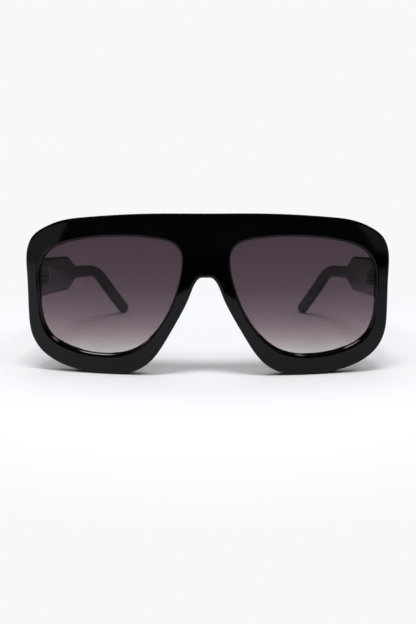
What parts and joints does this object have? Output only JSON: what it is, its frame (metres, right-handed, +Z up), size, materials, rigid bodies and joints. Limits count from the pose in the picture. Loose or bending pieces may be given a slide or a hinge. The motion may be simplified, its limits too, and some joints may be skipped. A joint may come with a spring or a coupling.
{
  "type": "oversized sunglasses",
  "caption": "Thick-rimmed oversized sunglasses with a flat top bar, gradient lenses and temples that fold on barrel hinges.",
  "frame": {"origin": "middle of the box on the table, under the middle between the temples", "axes": "+X across the front, +Y from the front back along the temples, +Z up"},
  "size_m": [0.15, 0.1343, 0.0668],
  "materials": {
    "frame": "polished black plastic",
    "pads": "polished black plastic",
    "lenses": "brown-grey tint that fades downwards",
    "hinge_metal": "satin nickel",
    "screw_metal": "bright steel",
    "core_metal": "plain nickel-silver wire"
  },
  "bodies": {
    "front": {"frame_front": "frame", "lens_left": "lenses", "lens_right": "lenses", "nose_pad_left": "pads", "nose_pad_right": "pads", "hinge_front_left": "hinge_metal", "hinge_front_right": "hinge_metal", "hinge_screw_left": "screw_metal", "hinge_screw_right": "screw_metal"},
    "left_temple": {"temple_left": "frame", "core_wire_left": "core_metal", "hinge_temple_left": "hinge_metal"},
    "right_temple": {"temple_right": "frame", "core_wire_right": "core_metal", "hinge_temple_right": "hinge_metal"}
  },
  "joints": [
    {"name": "left_fold", "type": "hinge", "parent": "front", "child": "left_temple", "pos_m": [-0.0683, -0.04917, 0.0388], "axis": [0, 0, -1], "range_deg": [0, 82]},
    {"name": "right_fold", "type": "hinge", "parent": "front", "child": "right_temple", "pos_m": [0.0683, -0.04917, 0.0388], "axis": [0, 0, 1], "range_deg": [0, 77]}
  ]
}
